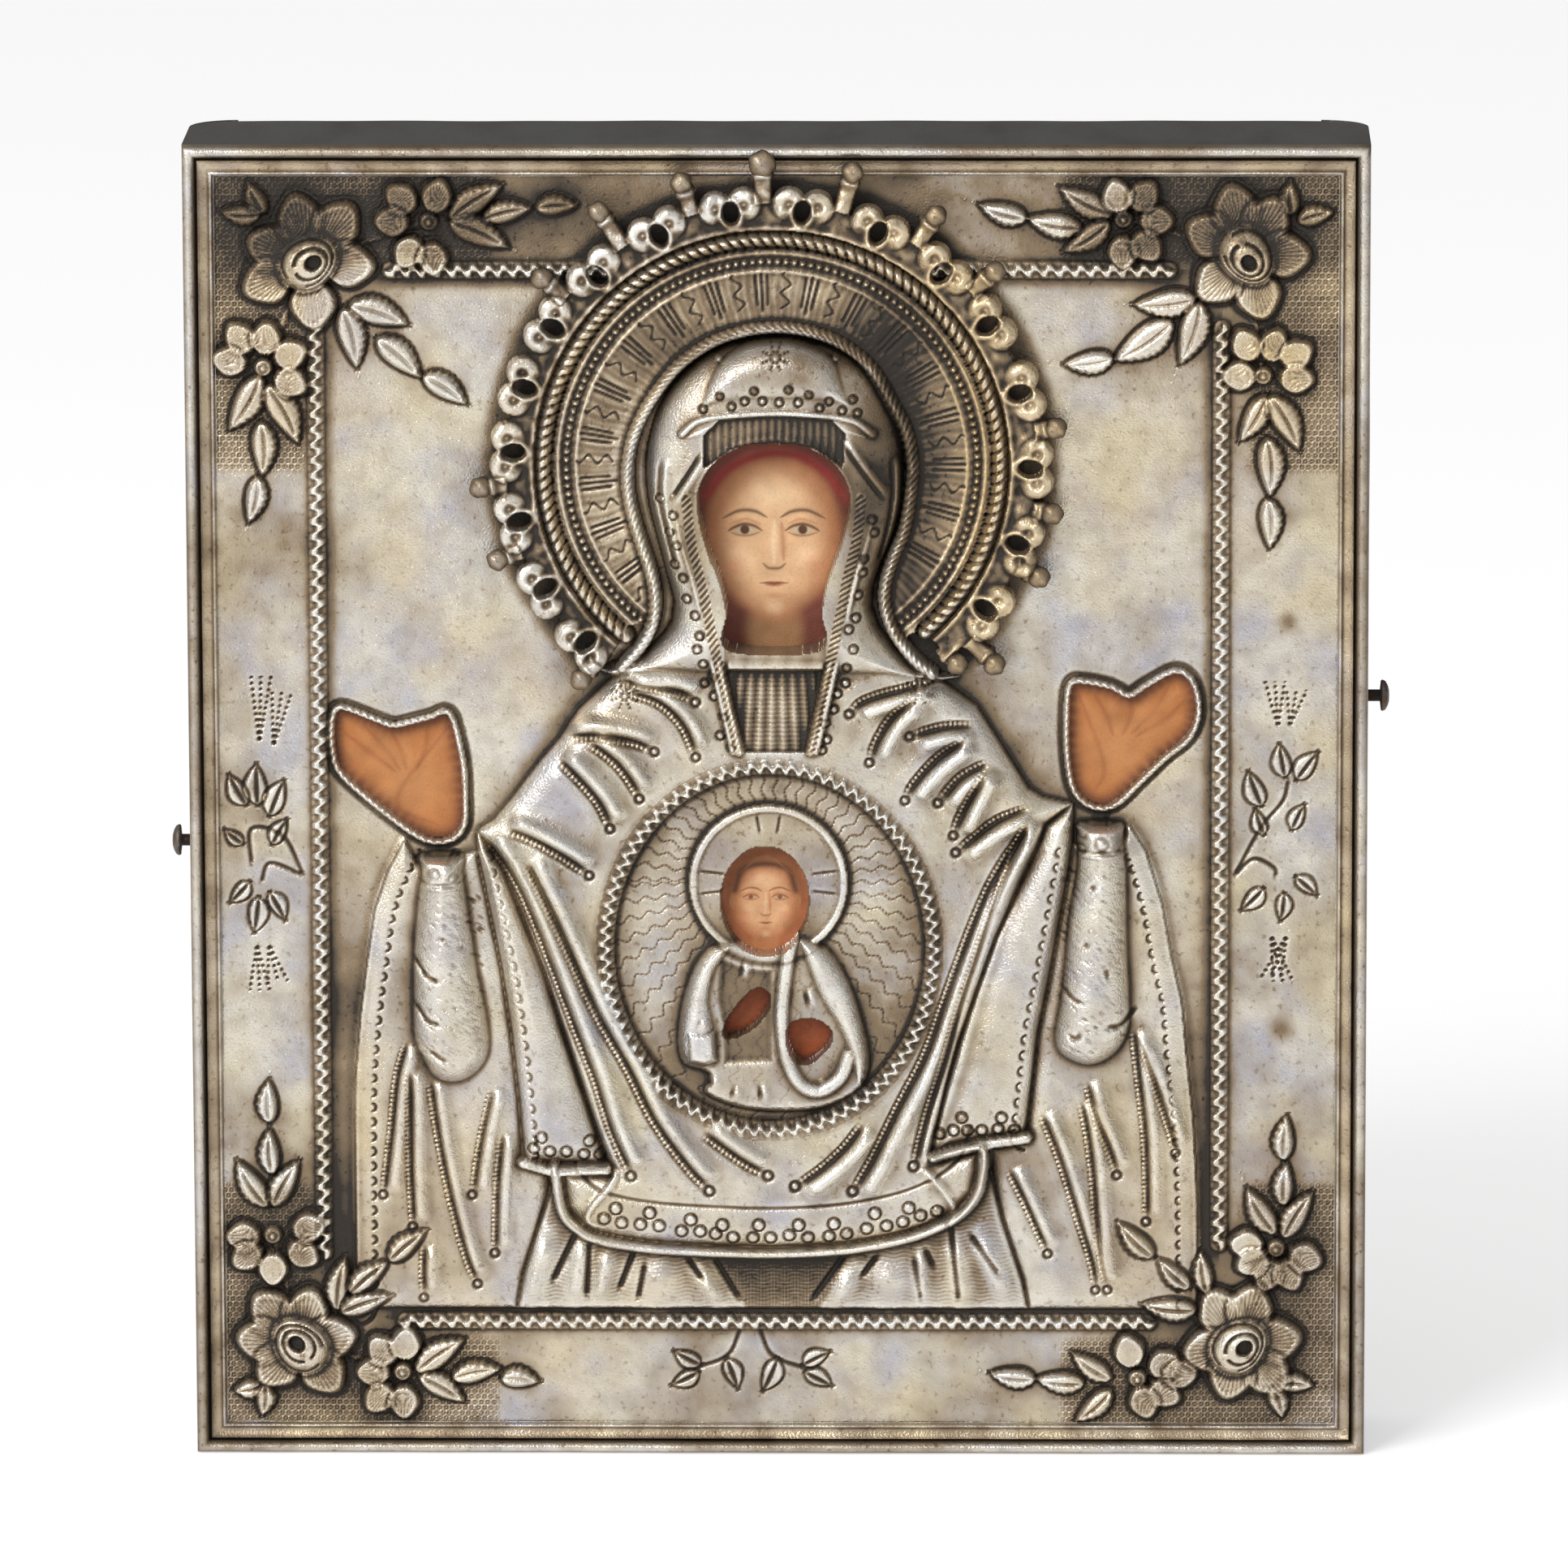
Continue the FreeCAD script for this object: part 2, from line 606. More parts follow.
def round_back_corners(icon, label, box, radius):
    """Round the two upright edges at the back of a box."""
    icon.doc.recompute()
    back = box.Shape.BoundBox.YMax
    picked = []
    for index, edge in enumerate(box.Shape.Edges, start=1):
        ends = [vertex.Point for vertex in edge.Vertexes]
        upright = ends[0].x == ends[1].x and ends[0].y == ends[1].y
        if upright and math.isclose(ends[0].y, back):
            picked.append((index, radius, radius))
    rounded = icon.doc.addObject("Part::Fillet", label)
    rounded.Base = box
    rounded.Edges = picked
    return rounded


def cut(icon, label, base, tools):
    """Base less all the tools."""
    group = tools[0]
    if len(tools) > 1:
        group = icon.doc.addObject("Part::MultiFuse", label + "_tools")
        group.Shapes = tools
    item = icon.doc.addObject("Part::Cut", label)
    item.Base = base
    item.Tool = group
    return item


def hidden_plate(icon, label, shape, seat):
    """Cutting tool built on a seat and moved to the front of the cover."""
    item = icon.doc.addObject("Part::Feature", label)
    item.Shape = shape
    item.Placement = Placement(Vector(0, icon.front() - seat, 0), Rotation())
    return item


def face_outline(icon):
    """The hood's opening, drawn from its half widths at heights."""
    middle = FACE_MIDDLE_SHARE
    right = [(middle + half, height) for half, height in FACE_OPENING_SHARES]
    left = [(middle - half, height) for half, height in FACE_OPENING_SHARES[-2::-1]]
    return icon.spots(right + left)


def openings(icon):
    """Outlines of the six openings by name."""
    child_face = ring_points(
        icon.spot(CHILD_FACE_MIDDLE_SHARES),
        icon.size("child_face_half_width"),
        icon.size("child_face_half_height"),
        OVAL_SIDES,
    )
    return {
        "face": face_outline(icon),
        "child_face": child_face,
        "left_hand": icon.spots(HAND_LEFT_SHARES),
        "right_hand": icon.spots(HAND_RIGHT_SHARES),
        "child_left_hand": icon.spots(CHILD_HAND_LEFT_SHARES),
        "child_right_hand": icon.spots(CHILD_HAND_RIGHT_SHARES),
    }


def widened(outline, distance):
    """Outline moved out on all sides."""
    count = len(outline)
    out = side_points(outline, [distance] * count, True)
    if spread(out) < spread(outline):
        out = side_points(outline, [-distance] * count, True)
    return out


def bar(side, height, start, end):
    """Many-sided bar along X between two stations, each a distance out and a radius."""
    wires = []
    for reach, radius in (start, end):
        ring = [Vector(side * reach, y, height + z) for y, z in ring_points((0, 0), radius, radius, NAIL_SIDES)]
        wires.append(Part.makePolygon(ring + ring[:1]))
    return Part.makeLoft(wires, True, True)


def make_nails(icon):
    """Two nails driven in from the sides, their heads standing out."""
    proud = icon.size("nail_proud")
    wall = icon.size("nail_head_wall")
    head = icon.size("nail_head_radius")
    half = icon.size("cover_width") / 2
    shapes = []
    for side, share in ((-1, LEFT_NAIL_SHARE), (1, RIGHT_NAIL_SHARE)):
        height = icon.size("cover_height") * share / THOUSAND
        radius = icon.size("nail_radius")
        shank = bar(side, height, (half - icon.size("nail_reach"), radius), (half + proud, radius))
        top = bar(
            side, height, (half + proud, head), (half + proud + wall, head * NAIL_HEAD_TOP_SHARE)
        )
        shapes.append(shank.fuse(top).removeSplitter())
    nails = icon.doc.addObject("Part::Feature", "side_nails")
    nails.Shape = Part.makeCompound(shapes)
    nails.Placement = Placement()
    return icon.keep(nails, "side_nails")


def wire_ring(icon, label, radius, wire_radius, steps):
    """Ring of wire round its own Y, mitred from short straight runs with eight flats each."""
    rings = []
    for reach, height in ring_points((radius, 0), wire_radius, wire_radius, ROUND_SIDES):
        rings.append([Vector(x, height, z) for x, z in ring_points((0, 0), reach, reach, steps)])
    groups = []
    for first, second in zip(rings, rings[1:] + rings[:1]):
        for index in range(steps):
            after = (index + 1) % steps
            groups.append([first[index], first[after], second[after], second[index]])
    ring = icon.doc.addObject("Part::Feature", label)
    ring.Shape = flat_solid(groups)
    return ring


def make_ring_eye(icon):
    """Wire eye whose shank is driven into the back of the board."""
    wire = icon.size("eye_wire_radius")
    eye = wire_ring(icon, "eye_loop", icon.size("eye_bore_radius") + wire, wire, EYE_STEPS)
    bind(eye, {"Placement.Base.y": EYE_CENTRE, "Placement.Base.z": EYE_HEIGHT})
    eye.Placement.Rotation = Rotation(Vector(0, 0, 1), 90)
    shank = icon.doc.addObject("Part::Prism", "eye_shank")
    shank.Polygon = STUD_SIDES
    bind(shank, {
        "Circumradius": "Sizes.eye_wire_radius",
        "Height": "Sizes.eye_shank_reach + Sizes.eye_wire_radius",
        "Placement.Base.y": BOARD_BACK + " - Sizes.eye_shank_reach",
        "Placement.Base.z": EYE_HEIGHT,
    })
    shank.Placement.Rotation = Rotation(Vector(1, 0, 0), -90)
    whole = icon.doc.addObject("Part::Fuse", "ring_eye")
    whole.Base = eye
    whole.Tool = shank
    return icon.keep(whole, "ring_eye")


def make_hanging_ring(icon):
    """Ring that hangs in the eye, flat to the back."""
    ring = wire_ring(
        icon, "hanging_ring", icon.size("ring_radius"), icon.size("ring_wire_radius"), RING_STEPS
    )
    bind(ring, {"Placement.Base.y": EYE_CENTRE, "Placement.Base.z": RING_TOP + " - Sizes.ring_radius"})
    return icon.keep(ring, "hanging_ring")


def make_batten(icon, label, place):
    """Dovetail batten, wider at the bottom of its groove than at the back."""
    batten = icon.doc.addObject("Part::Wedge", label)
    bind(batten, {
        "Xmin": "0",
        "Xmax": BOARD_LENGTH + " - 2 * Sizes.corner_round",
        "X2min": "0",
        "X2max": BOARD_LENGTH + " - 2 * Sizes.corner_round",
        "Ymin": "0",
        "Ymax": "Sizes.batten_reach + Sizes.batten_proud",
        "Zmin": "-Sizes.batten_height / 2",
        "Zmax": "Sizes.batten_height / 2",
        "Z2min": "-Sizes.batten_height / 2 + Sizes.batten_undercut",
        "Z2max": "Sizes.batten_height / 2 - Sizes.batten_undercut",
        "Placement.Base.x": BOARD_LEFT + " + Sizes.corner_round",
        "Placement.Base.y": BOARD_BACK + " - Sizes.batten_reach",
        "Placement.Base.z": place,
    })
    return icon.keep(batten, label)


def make_board(icon, fittings):
    """Wood panel with rounded back corners, grooved for its battens and bored for its nails."""
    box = make_box(
        icon, "board_blank", (BOARD_LENGTH, BOARD_WALL, BOARD_HEIGHT),
        (BOARD_LEFT, BOARD_FRONT, BOARD_FOOT),
    )
    radius = icon.size("corner_round") - icon.size("sheet_wall")
    rounded = round_back_corners(icon, "board_rounded", box, radius)
    return icon.keep(cut(icon, "icon_board", rounded, fittings), "icon_board")


def make_gesso(icon, paints):
    """Chalk ground on the board, with the painted places let into it."""
    box = make_box(
        icon, "gesso_blank", (BOARD_LENGTH, "Sizes.gesso_wall", BOARD_HEIGHT),
        (BOARD_LEFT, "-Sizes.cover_depth / 2 + Sizes.sheet_wall", BOARD_FOOT),
    )
    return icon.keep(cut(icon, "gesso_ground", box, paints), "gesso_ground")


def make_paints(icon, holes):
    """Painted places, each a little wider than the opening that shows it."""
    seat = -icon.size("sheet_wall")
    wall = icon.size("paint_wall")
    margin = icon.size("paint_margin")
    paints = []
    for label, names in (
        ("mother_face_paint", ("face",)),
        ("mother_hands_paint", ("left_hand", "right_hand")),
        ("child_face_paint", ("child_face",)),
        ("child_hands_paint", ("child_left_hand", "child_right_hand")),
    ):
        patches = [plate(widened(holes[name], margin), -wall, 0) for name in names]
        shape = patches[0] if len(patches) == 1 else Part.makeCompound(patches)
        paints.append(icon.raised(label, shape, seat))
    return paints


def make_cover(icon, holes, nails):
    """Silver sheet folded over the sides of the board, with its openings cut."""
    outer = make_box(
        icon, "cover_outside", ("Sizes.cover_width", "Sizes.cover_depth", "Sizes.cover_height"),
        ("-Sizes.cover_width / 2", "-Sizes.cover_depth / 2", "0"),
    )
    inner = make_box(
        icon, "cover_inside",
        ("Sizes.cover_width - 2 * Sizes.sheet_wall", "Sizes.cover_depth - 2 * Sizes.sheet_wall",
         "Sizes.cover_height - 2 * Sizes.sheet_wall"),
        ("-Sizes.cover_width / 2 + Sizes.sheet_wall", "-Sizes.cover_depth / 2 + Sizes.sheet_wall",
         "Sizes.sheet_wall"),
    )
    back = make_box(
        icon, "cover_back_opening",
        ("Sizes.cover_width - 2 * Sizes.corner_round", "Sizes.sheet_wall + Sizes.overrun",
         "Sizes.cover_height - 2 * Sizes.sheet_wall"),
        ("-Sizes.cover_width / 2 + Sizes.corner_round", "Sizes.cover_depth / 2 - 2 * Sizes.sheet_wall",
         "Sizes.sheet_wall"),
    )
    round_radius = icon.size("corner_round")
    outside = round_back_corners(icon, "cover_rounded", outer, round_radius)
    hollow = round_back_corners(icon, "cover_hollow", inner, round_radius - icon.size("sheet_wall"))
    reach = icon.size("sheet_wall") + icon.size("overrun")
    punches = Part.makeCompound([plate(hole, -reach, icon.size("overrun")) for hole in holes.values()])
    tool = hidden_plate(icon, "cover_openings", punches, 0)
    return icon.keep(cut(icon, "cover_sheet", outside, [hollow, back, tool, nails]), "cover_sheet")


def rim_profile(icon):
    """Distance in from the edge and height of each corner of the moulding's section."""
    edge = icon.size("rim_edge")
    bead = icon.size("rim_bead_radius")
    seat = icon.size("rim_bead_seat")
    groove = icon.size("rim_groove_rise")
    inner = icon.size("rim_inner_radius")
    inner_seat = icon.size("rim_inner_seat")
    middle = edge + bead
    profile = [(edge, 0)] + arc_points((middle, seat), bead, 180, 0, BEAD_STEPS)
    cove_start = edge + 2 * bead + icon.size("rim_groove_width")
    cove_end = cove_start + icon.size("rim_cove_width")
    rise = icon.size("rim_cove_rise")
    foot = icon.size("rim_cove_foot")
    profile += [(edge + 2 * bead, groove), (cove_start, groove), (cove_start, rise)]
    sag = foot + (rise - foot) * COVE_SAG_SHARE
    profile += [((cove_start + cove_end) / 2, sag), (cove_end, foot)]
    profile += arc_points((cove_end + inner, inner_seat), inner, 180, 0, BEAD_STEPS)
    profile.append((cove_end + 2 * inner, 0))
    return profile


def rim_corners(icon, inset, height):
    """Corners of the rectangle that lies inset from the cover's edge, at a height."""
    half = icon.size("cover_width") / 2 - inset
    top = icon.size("cover_height") - inset
    return [
        Vector(-half, -height, inset), Vector(half, -height, inset),
        Vector(half, -height, top), Vector(-half, -height, top),
    ]


def make_rim(icon):
    """Moulding mitred round the edge of the front."""
    profile = rim_profile(icon)
    groups = []
    for start, end in zip(profile, profile[1:] + profile[:1]):
        first = rim_corners(icon, *start)
        second = rim_corners(icon, *end)
        for index in range(len(first)):
            after = (index + 1) % len(first)
            groups.append([first[index], first[after], second[after], second[index]])
    return icon.raised("rim_moulding", flat_solid(groups))


def rope_run(icon, start, end):
    """Straight toothed rope between two places."""
    teeth = max(1, round(math.dist(start, end) / icon.size("rope_pitch")))
    return toothed_rope([start, end], icon.size("rope_width"), icon.size("rope_tooth"), teeth,
                        icon.size("rope_rise"))


def make_field_rope(icon, bouquets):
    """Rope round the middle field, broken where the bouquets and the nimbus cover it."""
    (left, bottom), (right, top) = (icon.spot(corner) for corner in ROPE_CORNER_SHARES)
    runs = []
    for name, (start, end) in ROPE_RUN_SHARES.items():
        if name in ("left", "right"):
            x = left if name == "left" else right
            ends = [(x, icon.spot((0, start))[1]), (x, icon.spot((0, end))[1])]
        else:
            z = bottom if name == "bottom" else top
            ends = [(icon.spot((start, 0))[0], z), (icon.spot((end, 0))[0], z)]
        runs.append(rope_run(icon, *ends))
    return icon.raised("field_rope", Part.makeCompound([run.cut(bouquets) for run in runs]))


def studs(icon, shares, low, high):
    """Round studs at places, from one height to another."""
    radius = icon.size("stud_radius")
    return [plate(ring_points(icon.spot(share), radius, radius, STUD_SIDES), low, high) for share in shares]


def folds(icon, runs, low, high):
    """Raised folds, each widest in its middle and pointed at both ends."""
    half = icon.size("fold_width") / 2
    shapes = []
    for run in runs:
        path = icon.spots(run)
        widths = [0] + [half] * (len(path) - 2) + [0]
        left = side_points(path, widths)
        right = side_points(path, [-width for width in widths])
        shapes.append(plate(left + right[-2:0:-1], low, high))
    return shapes


def hem_roll(icon, low, high):
    """Rolled hem along the foot of the mantle."""
    half = icon.size("hem_width") / 2
    path = icon.spots(HEM_SHARES)
    count = len(path)
    inside = side_points(path, [half] * count)
    return plate(inside + side_points(path, [0] * count)[::-1], low, high)


def mantle_outline(icon):
    """Outline of hood, shoulders and breast down to the hem."""
    shares = (
        LAPEL_LEFT_INNER_SHARES[:1] + SHOULDER_LEFT_SHARES + HOOD_LEFT_SHARES + HOOD_RIGHT_SHARES
        + SHOULDER_RIGHT_SHARES + LAPEL_RIGHT_INNER_SHARES[::-1] + HEM_SHARES[::-1]
        + LAPEL_LEFT_INNER_SHARES[:0:-1]
    )
    return icon.spots(shares)


def mirrored(shares):
    """Shares mirrored across the middle, in the same turning order."""
    return [(-x, z) for x, z in shares][::-1]


def make_mantle(icon, holes, medallion):
    """Mantle with its hood, visor, edging bands, collar and studs, open for face and medallion."""
    rise = icon.size("mantle_rise")
    body = crowned(mantle_outline(icon), rise, icon.size("mantle_fall"))
    hood_outline = icon.spots(HOOD_LEFT_SHARES + HOOD_RIGHT_SHARES)
    middle = icon.spot(HEAD_MIDDLE_SHARES)
    hood = hipped(hood_outline, middle, 0, icon.size("hood_rise"), HOOD_CROWN_SHARE)
    low = rise * ROOT_SHARE
    extras = [hood, plate(icon.spots(VISOR_SHARES), low, icon.size("visor_rise"))]
    for shares in (BAND_LEFT_SHARES, mirrored(BAND_LEFT_SHARES)):
        extras.append(plate(icon.spots(shares), low, icon.size("band_rise")))
    extras.append(plate(icon.spots(COLLAR_SHARES), low, icon.size("band_rise")))
    top = rise + icon.size("stud_rise")
    extras += studs(icon, HEM_STUD_SHARES, low, top)
    top = rise + icon.size("fold_rise")
    extras += folds(icon, BREAST_FOLD_SHARES + SHOULDER_FOLD_SHARES, low, top)
    extras.append(hem_roll(icon, low, top))
    whole = joined([body] + extras)
    reach = icon.size("visor_rise") + icon.size("overrun")
    cutter = plate(holes["face"], -icon.size("overrun"), reach)
    opened = whole.cut(cutter).cut(plate(medallion, -icon.size("overrun"), reach))
    return icon.raised("mantle", opened)


def lapel_outlines(icon):
    """Outlines of the left and right lapels, which share their edges with the mantle."""
    left = LAPEL_LEFT_INNER_SHARES + HEM_SHARES[:1] + LAPEL_LEFT_OUTER_SHARES
    right = LAPEL_RIGHT_INNER_SHARES + LAPEL_RIGHT_OUTER_SHARES + HEM_SHARES[-1:]
    return icon.spots(left), icon.spots(right)


def make_lapels(icon, mantle):
    """Hanging panels beside the mantle with studs above their hems."""
    rise = icon.size("lapel_rise")
    top = rise + icon.size("stud_rise")
    for label, outline, shares in zip(
        ("left_lapel", "right_lapel"), lapel_outlines(icon),
        (LAPEL_LEFT_STUD_SHARES, LAPEL_RIGHT_STUD_SHARES),
    ):
        panel = plate(outline, 0, rise)
        whole = joined([panel] + studs(icon, shares, rise * ROOT_SHARE, top))
        icon.raised(label, whole.cut(mantle))


def make_sleeves(icon):
    """Raised forearms, rounded across, each with a ringed cuff at its top."""
    tops = []
    for label, shares in (("left_sleeve", SLEEVE_LEFT_SHARES), ("right_sleeve", SLEEVE_RIGHT_SHARES)):
        outline = icon.spots(shares)
        tube = crowned(outline, icon.size("sleeve_rise"), icon.size("sleeve_fall"))
        edge = max(z for x, z in outline)
        cuff_foot = edge - icon.size("cuff_height")
        left, right = outline[0], outline[1]
        cuff = [(left[0], cuff_foot), (right[0], cuff_foot), right, left]
        band = crowned(cuff, icon.size("cuff_rise"), icon.size("sleeve_fall"))
        icon.raised(label, joined([tube, band]))
        tops.append(outline)
    return tops


def make_veils(icon, sleeves, bouquets):
    """Flat folds that hang outside the lapels, cut round the sleeves and the leaves on them."""
    left = (
        VEIL_LEFT_SHARES + ROBE_LEFT_SHARES + HEM_SHARES[:1] + LAPEL_LEFT_OUTER_SHARES
    )
    right = (
        VEIL_RIGHT_SHARES + LAPEL_RIGHT_OUTER_SHARES + HEM_SHARES[-1:] + ROBE_RIGHT_SHARES
    )
    rise = icon.size("veil_rise")
    overrun = icon.size("overrun")
    for label, shares, sleeve in zip(("left_veil", "right_veil"), (left, right), sleeves):
        flat = plate(icon.spots(shares), 0, rise)
        ribs = folds(icon, VEIL_FOLD_SHARES[label], rise * ROOT_SHARE, rise + icon.size("fold_rise"))
        flat = joined([flat] + ribs)
        reach = rise + icon.size("fold_rise") + overrun
        icon.raised(label, flat.cut(plate(sleeve, -overrun, reach)).cut(bouquets))


def make_robe(icon):
    """Skirt between the hem and the rope."""
    shares = ROBE_LEFT_SHARES + HEM_SHARES + ROBE_RIGHT_SHARES
    icon.raised("lower_robe", plate(icon.spots(shares), 0, icon.size("robe_rise")))


def medallion_outline(icon, inset):
    """Edge of the medallion, drawn in by an inset."""
    return ring_points(
        icon.spot(MEDALLION_MIDDLE_SHARES),
        icon.size("medallion_half_width") - inset,
        icon.size("medallion_half_height") - inset,
        ARC_STEPS,
    )


def make_medallion(icon, holes):
    """Disc, rope, Child and nimbus on the Mother's breast."""
    width = icon.size("rope_width")
    seat = icon.size("disc_rise")
    overrun = icon.size("overrun")
    reach = icon.size("child_rise") + overrun
    cutters = Part.makeCompound([
        plate(holes[name], -overrun, reach) for name in ("child_face", "child_left_hand", "child_right_hand")
    ])
    disc = plate(medallion_outline(icon, width + icon.size("seat_gap")), 0, seat).cut(cutters)
    icon.raised("medallion_disc", disc)
    rope = toothed_ring(
        medallion_outline(icon, width / 2), width, icon.size("rope_tooth"), MEDALLION_TEETH,
        icon.size("medallion_rope_rise"),
    )
    icon.raised("medallion_rope", rope)
    body = icon.spots(CHILD_BODY_SHARES)
    child = crowned(body, icon.size("child_rise") - seat, icon.size("child_fall"))
    child = child.common(plate(medallion_outline(icon, width + icon.size("seat_gap")), 0, reach))
    child = child.cut(cutters)
    icon.raised("child_figure", child, seat)
    middle = icon.spot(CHILD_NIMBUS_MIDDLE_SHARES)
    radius = icon.size("child_nimbus_radius")
    rise = icon.size("child_nimbus_rise") - seat
    rim = icon.size("child_nimbus_rim")
    halo = plate(ring_points(middle, radius, radius, OVAL_SIDES), 0, rise)
    dish = plate(ring_points(middle, radius - rim, radius - rim, OVAL_SIDES), rise * ROOT_SHARE, reach)
    halo = halo.cut(dish).cut(plate(body, -overrun, reach)).cut(cutters)
    icon.raised("child_nimbus", halo, seat)


def make_hand_rims(icon, holes):
    """Raised rims round the two hand openings."""
    width = icon.size("hand_rim_width")
    for label, name in (("left_hand_rim", "left_hand"), ("right_hand_rim", "right_hand")):
        outer = plate(widened(holes[name], width), 0, icon.size("hand_rim_rise"))
        icon.raised(label, outer.cut(plate(holes[name], 0, icon.size("hand_rim_rise"))))


def leaf(base, tip, rise):
    """Pointed leaf with a ridge along its middle."""
    length = math.dist(base, tip)
    along = ((tip[0] - base[0]) / length, (tip[1] - base[1]) / length)
    across = (-along[1], along[0])
    half = length * LEAF_WIDTH_SHARE / 2

    def place(run, side, height):
        return Vector(
            base[0] + along[0] * run * length + across[0] * side * half,
            -height,
            base[1] + along[1] * run * length + across[1] * side * half,
        )

    low = LEAF_RIDGE_SHARE
    high = 1 - LEAF_RIDGE_SHARE
    edge = [place(0, 0, 0), place(low, 1, 0), place(high, 1, 0), place(1, 0, 0), place(high, -1, 0),
            place(low, -1, 0)]
    first = place(low, 0, rise)
    last = place(high, 0, rise)
    corners = [
        (edge[0], edge[1], first), (edge[1], edge[2], last, first), (edge[2], edge[3], last),
        (edge[3], edge[4], last), (edge[4], edge[5], first, last), (edge[5], edge[0], first),
        tuple(edge[::-1]),
    ]
    return flat_solid(corners)


def petal(middle, centre, radius, rise):
    """Low round petal, a little longer away from the flower's centre."""
    turn = math.degrees(math.atan2(middle[1] - centre[1], middle[0] - centre[0]))
    outline = ring_points(middle, radius * PETAL_LENGTH_SHARE, radius, STUD_SIDES, turn)
    return hipped(outline, middle, 0, rise, PETAL_TOP_SHARE)


def rose(icon, share):
    """Domed rose heart with the round hole left where a stone was set."""
    x, z, turn = share
    middle = icon.spot((x, z))
    rise = icon.size("rose_rise")
    outline = ring_points(
        middle, icon.size("rose_half_length"), icon.size("rose_half_width"), ROUND_SIDES, turn
    )
    radius = icon.size("rose_hole_radius")
    hole = plate(
        ring_points(middle, radius, radius, STUD_SIDES), rise - icon.size("rose_hole_reach"),
        rise + icon.size("overrun"),
    )
    return hipped(outline, middle, 0, rise, PETAL_TOP_SHARE).cut(hole)


def bouquet(icon, shares):
    """Rose, blossoms and leaves of one corner."""
    petal_rise = icon.size("petal_rise")
    centre = icon.spot(shares["rose"][:2])
    pieces = [rose(icon, shares["rose"])]
    pieces += [
        petal(spot, centre, icon.size("rose_petal_radius"), petal_rise)
        for spot in icon.spots(shares["petals"])
    ]
    for middle, petals in shares["blossoms"]:
        heart = icon.spot(middle)
        radius = icon.size("blossom_eye_radius")
        pieces.append(plate(ring_points(heart, radius, radius, STUD_SIDES), 0, icon.size("blossom_eye_rise")))
        pieces += [
            petal(spot, heart, icon.size("blossom_petal_radius"), petal_rise)
            for spot in icon.spots(petals)
        ]
    pieces += [leaf(*icon.spots(ends), icon.size("leaf_rise")) for ends in shares["leaves"]]
    return joined(pieces)


def make_bouquets(icon):
    """The four corner bouquets."""
    shapes = []
    for label, shares in (
        ("upper_left_bouquet", UPPER_LEFT_BOUQUET_SHARES),
        ("upper_right_bouquet", UPPER_RIGHT_BOUQUET_SHARES),
        ("lower_left_bouquet", LOWER_LEFT_BOUQUET_SHARES),
        ("lower_right_bouquet", LOWER_RIGHT_BOUQUET_SHARES),
    ):
        shape = bouquet(icon, shares)
        icon.raised(label, shape)
        shapes.append(shape)
    return shapes


def chain_radius(icon):
    """Radius of the nimbus's outer rope, which clears the crown of the inner wire by its reach."""
    crown = max(z for x, z in icon.spots(NIMBUS_WIRE_SHARES))
    return crown - icon.spot(NIMBUS_MIDDLE_SHARES)[1] + icon.size("nimbus_reach")


def chain_edge(icon):
    """Outer radius of the nimbus's outer rope."""
    return chain_radius(icon) + icon.size("nimbus_chain_width") / 2


def turned(icon, angle, radius):
    """Place at an angle in degrees and a distance from the nimbus's middle."""
    middle = icon.spot(NIMBUS_MIDDLE_SHARES)
    return arc_points(middle, radius, angle, angle, 1)[0]


def sector(icon, inner, outer, low, high, ends):
    """Arched band of the nimbus between two radii."""
    middle = icon.spot(NIMBUS_MIDDLE_SHARES)
    outer_arc = arc_points(middle, outer, *ends, ARC_STEPS)
    outline = outer_arc + arc_points(middle, inner, *ends, ARC_STEPS)[::-1]
    return plate(outline, low, high)


def ray(icon, angle):
    """Pointed ray that runs out along the rayed band, from its foot to the row of beads."""
    chain = chain_radius(icon)
    tip = chain - icon.size("nimbus_bead_inset") - icon.size("nimbus_bead_width") / 2
    foot = tip * RAY_FOOT_SHARE
    side = math.degrees(icon.size("ray_half_width") / foot)
    outline = [turned(icon, angle - side, foot), turned(icon, angle, tip), turned(icon, angle + side, foot)]
    rise = icon.size("nimbus_plate_rise")
    return plate(outline, rise * ROOT_SHARE, rise + icon.size("ray_rise"))


def make_nimbus_plate(icon, mantle):
    """Rayed band between the inner wire and the outer rope, with its row of beads."""
    wire = icon.spots(NIMBUS_WIRE_SHARES)
    gap = icon.size("seat_gap")
    reach = icon.size("nimbus_wire_width") / 2 + gap
    inner = side_points(wire, [reach] * len(wire))[PLATE_END_POINTS:-PLATE_END_POINTS]
    outer = chain_radius(icon) - icon.size("nimbus_chain_width") / 2 - gap
    ends = (NIMBUS_END_ANGLES[1] - PLATE_END_ANGLE, NIMBUS_END_ANGLES[0] + PLATE_END_ANGLE)
    middle = icon.spot(NIMBUS_MIDDLE_SHARES)
    rise = icon.size("nimbus_plate_rise")
    band = plate(arc_points(middle, outer, *ends, ARC_STEPS) + inner[::-1], 0, rise)
    bead = chain_radius(icon) - icon.size("nimbus_bead_inset")
    half = icon.size("nimbus_bead_width") / 2
    top = rise + icon.size("nimbus_bead_rise")
    beads = sector(icon, bead - half, bead + half, rise * ROOT_SHARE, top, ends)
    rays = [ray(icon, angle) for angle in RAY_ANGLES]
    icon.raised("nimbus_plate", joined([band, beads] + rays).cut(mantle))


